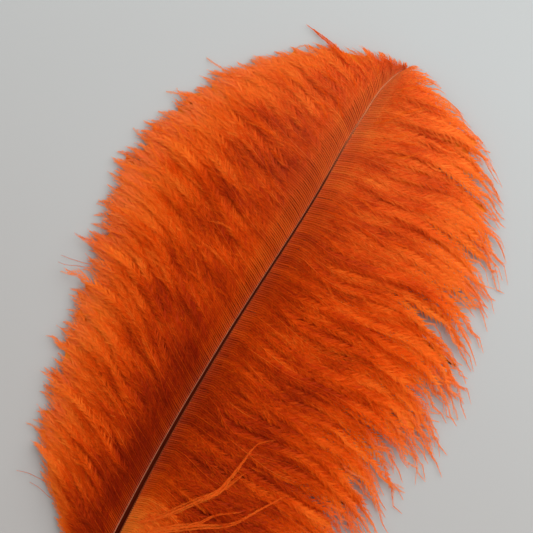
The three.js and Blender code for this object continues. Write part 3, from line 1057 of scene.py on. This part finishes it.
def webs(grown, s):
    # the short dense barbules on both sides of a bare stem, as one thin roof along it
    count = len(grown["full"])
    v = np.linspace(0, 1, s["steps"])[None]
    way = v * s["length"] * grown["comb"][:, None]
    barb = np.repeat(np.arange(count), s["steps"])
    points, tangent, tone = alongBarbs(grown, barb, (way / grown["full"][:, None]).ravel())
    side, up = sideAndUp(tangent)
    least, whole = s["close"]
    close = np.minimum(1, least + grown["root"][barb] / whole)
    ending = np.repeat(1 - ease(v, *s["ending"]), count, 0).ravel()
    width = s["endReach"] + (1 - s["endReach"]) * ending
    rows = []
    for x in (-1.0, 0.0, 1.0):
        aside, drop = [reach * close * abs(x) * width for reach in s["reach"]]
        rows.append(points + side * (np.sign(x) * aside)[:, None] - up * (drop - s["above"])[:, None])
    rings = np.stack(rows, 1)
    keepAbove(rings, s["lowest"])
    first = (np.arange(count)[:, None] * s["steps"] + np.arange(s["steps"] - 1)).ravel() * 3
    faces = []
    for a in (first, first + 1):
        faces += [np.stack([a, a + 3, a + 4], 1), np.stack([a, a + 4, a + 1], 1)]
    # painted shade at the web's edges, between the stems, and painted light along its middle
    edge = -grown["combShade"] * ending * ease(way, *s["toneWay"]).ravel()
    tones = np.stack([tone + edge, tone - edge / s["middleLess"], tone + edge], 1)
    pale = s["paleShare"] * paleness(grown, np.repeat(barb, 3), np.repeat(way.ravel(), 3))
    return rings.reshape(-1, 3), np.concatenate(faces), tones.ravel(), pale, np.repeat(barb, 3)


downSettings = {
    "steps": 14,
    "begin": 0.9,             # times the comb's width
    "beginMost": 0.4,         # where that width counts as at most this share of a barb's length
    "endSpread": (0.7, 1.6),  # times downEnd
    "least": 0.1,             # share of a barb's length that has down in any case
    "drop": 0.85,             # how far the down lies below the stems
    "dropSpread": (0.6, 1.2),
    "dropWhole": 50,          # under shorter barbs it lies less far below
    "closed": 0.55,           # share of the sheet, from the shaft, that has no gaps
    "lowest": 0.15,
    # painted shade: the down is darker than the stems above it
    "tone": -0.11,
    "toneSpread": 0.06,
}


def down(grown, s):
    # the felt of soft barbules under the stems, one sheet from barb to barb that ends before their tips,
    # painted darker as shade
    rng = grown["rng"]
    chosen = np.flatnonzero(grown["whole"])
    count, steps = len(chosen), s["steps"]
    v = np.linspace(0, 1, steps)[None]
    whole = grown["full"][chosen, None]
    begin = np.minimum(grown["comb"][chosen, None], s["beginMost"] * whole) * s["begin"]
    end = whole - grown["downEnd"] * rng.uniform(*s["endSpread"], (count, 1))
    way = mix(begin, np.maximum(end, begin + s["least"] * whole), v)
    barb = np.repeat(chosen, steps)
    points, tangent, tone = alongBarbs(grown, barb, (way / whole).ravel())
    up = sideAndUp(tangent)[1]
    small = np.minimum(1, whole.repeat(steps, 1).ravel() / s["dropWhole"])
    sunk = s["drop"] * rng.uniform(*s["dropSpread"], len(barb)) * small
    points = points - up * sunk[:, None]
    keepAbove(points, s["lowest"])
    a = (np.arange(count - 1)[:, None] * steps + np.arange(steps - 1)).ravel()
    b = a + steps + 1
    apart = np.linalg.norm(points[b] - points[a + 1], axis=1)
    a = a[(a % steps < s["closed"] * steps) | (apart < grown["downApart"])]
    b = a + steps + 1
    faces = np.concatenate([np.stack([a, a + 1, b], 1), np.stack([a, b, b - 1], 1)])
    tone = tone + s["tone"] + rng.normal(0, s["toneSpread"], len(barb))
    return points, faces, tone, np.zeros(len(barb)), barb


downySettings = {
    "spacing": 2.4,
    "fewest": 2,
    "fromComb": 0.9,          # times the comb's width
    "fromTip": 6,             # none nearer to a barb's tip than this
    "base": 1.5,
    "baseMost": 0.2,          # share of a barb's length
    "reach": (3.0, 1.2, 3.4), # how far they reach aside, down and forwards
    "growth": (4, 22),        # from no size this far from a barb's tip, over this way to the whole size
    "least": 0.15,
    "sizeSpread": (0.75, 1.2),
    "lowest": 0.1,
    "toneSpread": 0.05,
    # painted shade: these low ones are darker than the stems, most at their hanging tips
    "tones": (-0.05, -0.05, -0.15),
    "paleShare": 0.6,
}


def downyBarbules(grown, s):
    # broad soft ones low between the barbs, which stand on the stems and close the vane below
    rng = grown["rng"]
    barb, share, side = alternate(grown, s["spacing"], s["fewest"])
    way = share * grown["full"][barb]
    left = grown["full"][barb] - way
    kept = (way > grown["comb"][barb] * s["fromComb"]) & (left > s["fromTip"])
    barb, share, side, left = barb[kept], share[kept], side[kept], left[kept]
    count = len(barb)
    none, over = s["growth"]
    size = np.clip((left - none) / over, s["least"], 1) * rng.uniform(*s["sizeSpread"], count)
    reach = np.array(s["reach"]) * size[:, None]
    half = np.minimum(s["base"] * size / grown["full"][barb], s["baseMost"]) / 2
    back, tangent, tone = alongBarbs(grown, barb, share - half)
    front = alongBarbs(grown, barb, share + half)[0]
    across, up = sideAndUp(tangent)
    tip = front + across * (side * reach[:, 0])[:, None] - up * reach[:, 1:2] + tangent * reach[:, 2:]
    keepAbove(tip, s["lowest"])
    corners = np.stack([back, front, tip], 1)
    faces = np.arange(3 * count).reshape(-1, 3)
    tone = np.repeat(tone + rng.normal(0, s["toneSpread"], count), 3) + np.tile(s["tones"], count)
    pale = np.repeat(s["paleShare"] * paleness(grown, barb, share * grown["full"][barb]), 3)
    return corners.reshape(-1, 3), faces, tone, pale, np.repeat(barb, 3)


def joined(layers):
    # layers of points, faces, tones, paleness and barb numbers, as one of each
    starts = np.cumsum([0] + [len(layer[0]) for layer in layers])
    faces = np.concatenate([layer[1] + start for layer, start in zip(layers, starts)])
    points, tone, pale, barb = [np.concatenate([layer[k] for layer in layers]) for k in (0, 2, 3, 4)]
    return points, faces, tone, pale, barb


def barbPiece(name, points, faces, tone, pale, vane, material):
    piece = meshObject(name, points, faces, {"tone": tone, "pale": pale})
    piece.data.materials.append(material)
    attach(piece, "root")
    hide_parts(vane["node"])
    print(name + ":", len(faces), "triangles")


def fluffPiece(name, grown, s, vane, material):
    # stems with barbules and nothing else, as one piece
    layers = [barbStems(grown, s), barbules(grown, {**barbuleSettings, **s["fluff"]})]
    points, faces, tone, pale = joined(layers)[:4]
    barbPiece(name, points, faces, tone, pale, vane, material)


def makeVane(vane, material, parts, wispName):
    grown = growBarbs(vane, barbSettings)
    points, faces, tone, pale, barb = joined([
        barbStems(grown, barbSettings),
        webs(grown, webSettings),
        down(grown, downSettings),
        downyBarbules(grown, downySettings),
        barbules(grown, barbuleSettings),
    ])
    # cut into pieces by barb, from the tip to the quill, with about the same number of faces in each
    faceBarb = barb[faces[:, 0]]
    perBarb = np.bincount(faceBarb, minlength=len(grown["root"]))
    partOf = np.minimum((np.cumsum(perBarb) - 1) * len(parts) // len(faces), len(parts) - 1)
    for k, partName in enumerate(parts):
        kept = partOf[faceBarb] == k
        used = partOf[barb] == k
        renumber = np.cumsum(used) - 1
        barbPiece(partName, points[used], renumber[faces[kept]], tone[used], pale[used], vane, material)
    fluffPiece(wispName, growWisps(grown, wispSettings), wispSettings, vane, material)
    return grown


barbMaterial = dyeAndShadeMaterial(dyeAndShadeSettings)
leftParts = ["leftBarbsTip", "leftBarbsMiddle", "leftBarbsQuill"]
rightParts = ["rightBarbsTip", "rightBarbsMiddle", "rightBarbsQuill"]
leftBarbs = makeVane(leftVane, barbMaterial, leftParts, "leftWisps")
rightBarbs = makeVane(rightVane, barbMaterial, rightParts, "rightWisps")
print("vanes made of", len(leftBarbs["root"]), "and", len(rightBarbs["root"]), "barbs")


# Barbs that have come loose from the rest and cross it or stand out from its edge, as [place across the
# feather, distance from the tip] from their root to their tip
strayTufts = {
    "stems": 5,
    "apart": 0.75,
    "lift": 0.8,
    "tone": 0.68,
    "bleached": 0.03,
    "rootRadius": 0.12,
    "tipRadius": 0.04,
    "stemTone": 0.34,
    "fluff": {
        "spacing": 0.3, "fullLength": 1.9, "outerLength": 1.5, "fullOpening": (17, 5),
        "outerOpening": (13, 4), "width": 0.13,
    },
    "paths": [
        [[3.9, 236.2], [11.6, 227.3], [17.1, 219.1], [21.2, 212.9], [26.3, 205.6], [27.6, 199],
         [29.2, 186.3], [30.2, 178.4], [36.1, 172.6]],
        [[21.2, 212.9], [27.2, 204.5], [32.5, 191.7]],
        [[10, 237.7], [27.3, 222.9], [39.7, 213.7], [46.8, 202], [53.3, 191.1]],
        [[9.6, 236.9], [18, 229], [26.6, 221.7], [30.5, 215.1], [39.6, 207.5]],
        [[-23, 12.5], [-28, 10.5], [-33.8, 9], [-41.6, 7.3], [-49, 6.2]],
    ],
}
straySpikes = {
    "stems": 1,
    "apart": 0.0,
    "lift": 0.6,
    "tone": 0.50,
    "bleached": 0.35,
    "rootRadius": 0.15,
    "tipRadius": 0.06,
    "stemTone": 0.1,
    "fluff": {"spacing": 0.5, "fullLength": 0.5, "outerLength": 0.4, "width": 0.12},
    "paths": [
        [[-72, 141.4], [-78.1, 141.3], [-83.5, 141], [-88.6, 141.4]],
        [[-74, 149.5], [-79.8, 151.3], [-84.5, 152.6], [-89.2, 153.4]],
        [[-74, 151], [-80, 153.5], [-84.5, 155.6], [-88.6, 156.6]],
        [[-40, 243.5], [-46.3, 244.8], [-51, 245.7], [-55.4, 247.2]],
        [[-32, 248.5], [-38.5, 249], [-43, 248.6], [-47.6, 248.7]],
    ],
}

# Settings that tufts and spikes share
straySettings = {
    "shorter": 0.3,           # how much less of its path the last stem of a tuft has, at most
    "swell": 0.35,            # where in its first swing sideways a stem begins, in radians
    "rests": 3.5,             # it lies on the barbs that are this near
    "height": 1.0,            # or this high where there are none
    "evened": 5,              # places over which its height is evened out
    "liftSpread": (0.7, 1.2),
    "toneSpread": 0.05,
    "tipLength": 0.3,
    "tipFluff": 0.25,
}


def growStrays(strays, s, barbs, seed):
    rng = np.random.default_rng(seed)
    below = np.concatenate([grown["points"].reshape(-1, 3) for grown in barbs])
    places = barbSettings["steps"] + 1
    swing = np.sin(np.linspace(s["swell"], math.pi, places))[:, None]
    evened = np.full(s["evened"], 1 / s["evened"])
    stems = []
    for path in strays["paths"]:
        line = np.array(path) * [1, -1]
        along = np.concatenate([[0], np.cumsum(np.linalg.norm(np.diff(line, axis=0), axis=1))])
        for k in range(strays["stems"]):
            reach = 1 - s["shorter"] * k / strays["stems"]
            at = np.linspace(0, reach, places) * along[-1]
            flat = np.stack([through(np.stack([along, line[:, axis]], 1), at) for axis in (0, 1)], 1)
            flat += rng.normal(0, strays["apart"], 2) * swing
            near = np.linalg.norm(below[None, :, :2] - flat[:, None], axis=2) < s["rests"]
            top = np.array([below[close, 2].max() if close.any() else s["height"] for close in near])
            level = np.convolve(np.pad(top, s["evened"] // 2, mode="edge"), evened, mode="valid")
            lift = strays["lift"] * rng.uniform(*s["liftSpread"])
            stems.append(np.concatenate([flat, (level + lift)[:, None]], 1))
    points = np.array(stems)
    count = len(points)
    length = np.linalg.norm(np.diff(points, axis=1), axis=2).sum(1)
    tone = np.full(points.shape[:2], strays["tone"]) + rng.normal(0, s["toneSpread"], (count, 1))
    return barbSet(
        rng, points, np.full(count, vaneLength), length, tone,
        tipLength=s["tipLength"], tipFluff=s["tipFluff"], bleached=strays["bleached"],
    )


for name, strays, vane, seed in (
    ("strayTufts", strayTufts, rightVane, 5), ("straySpikes", straySpikes, leftVane, 6),
):
    grown = growStrays(strays, straySettings, [leftBarbs, rightBarbs], seed)
    fluffPiece(name, grown, strays, vane, barbMaterial)
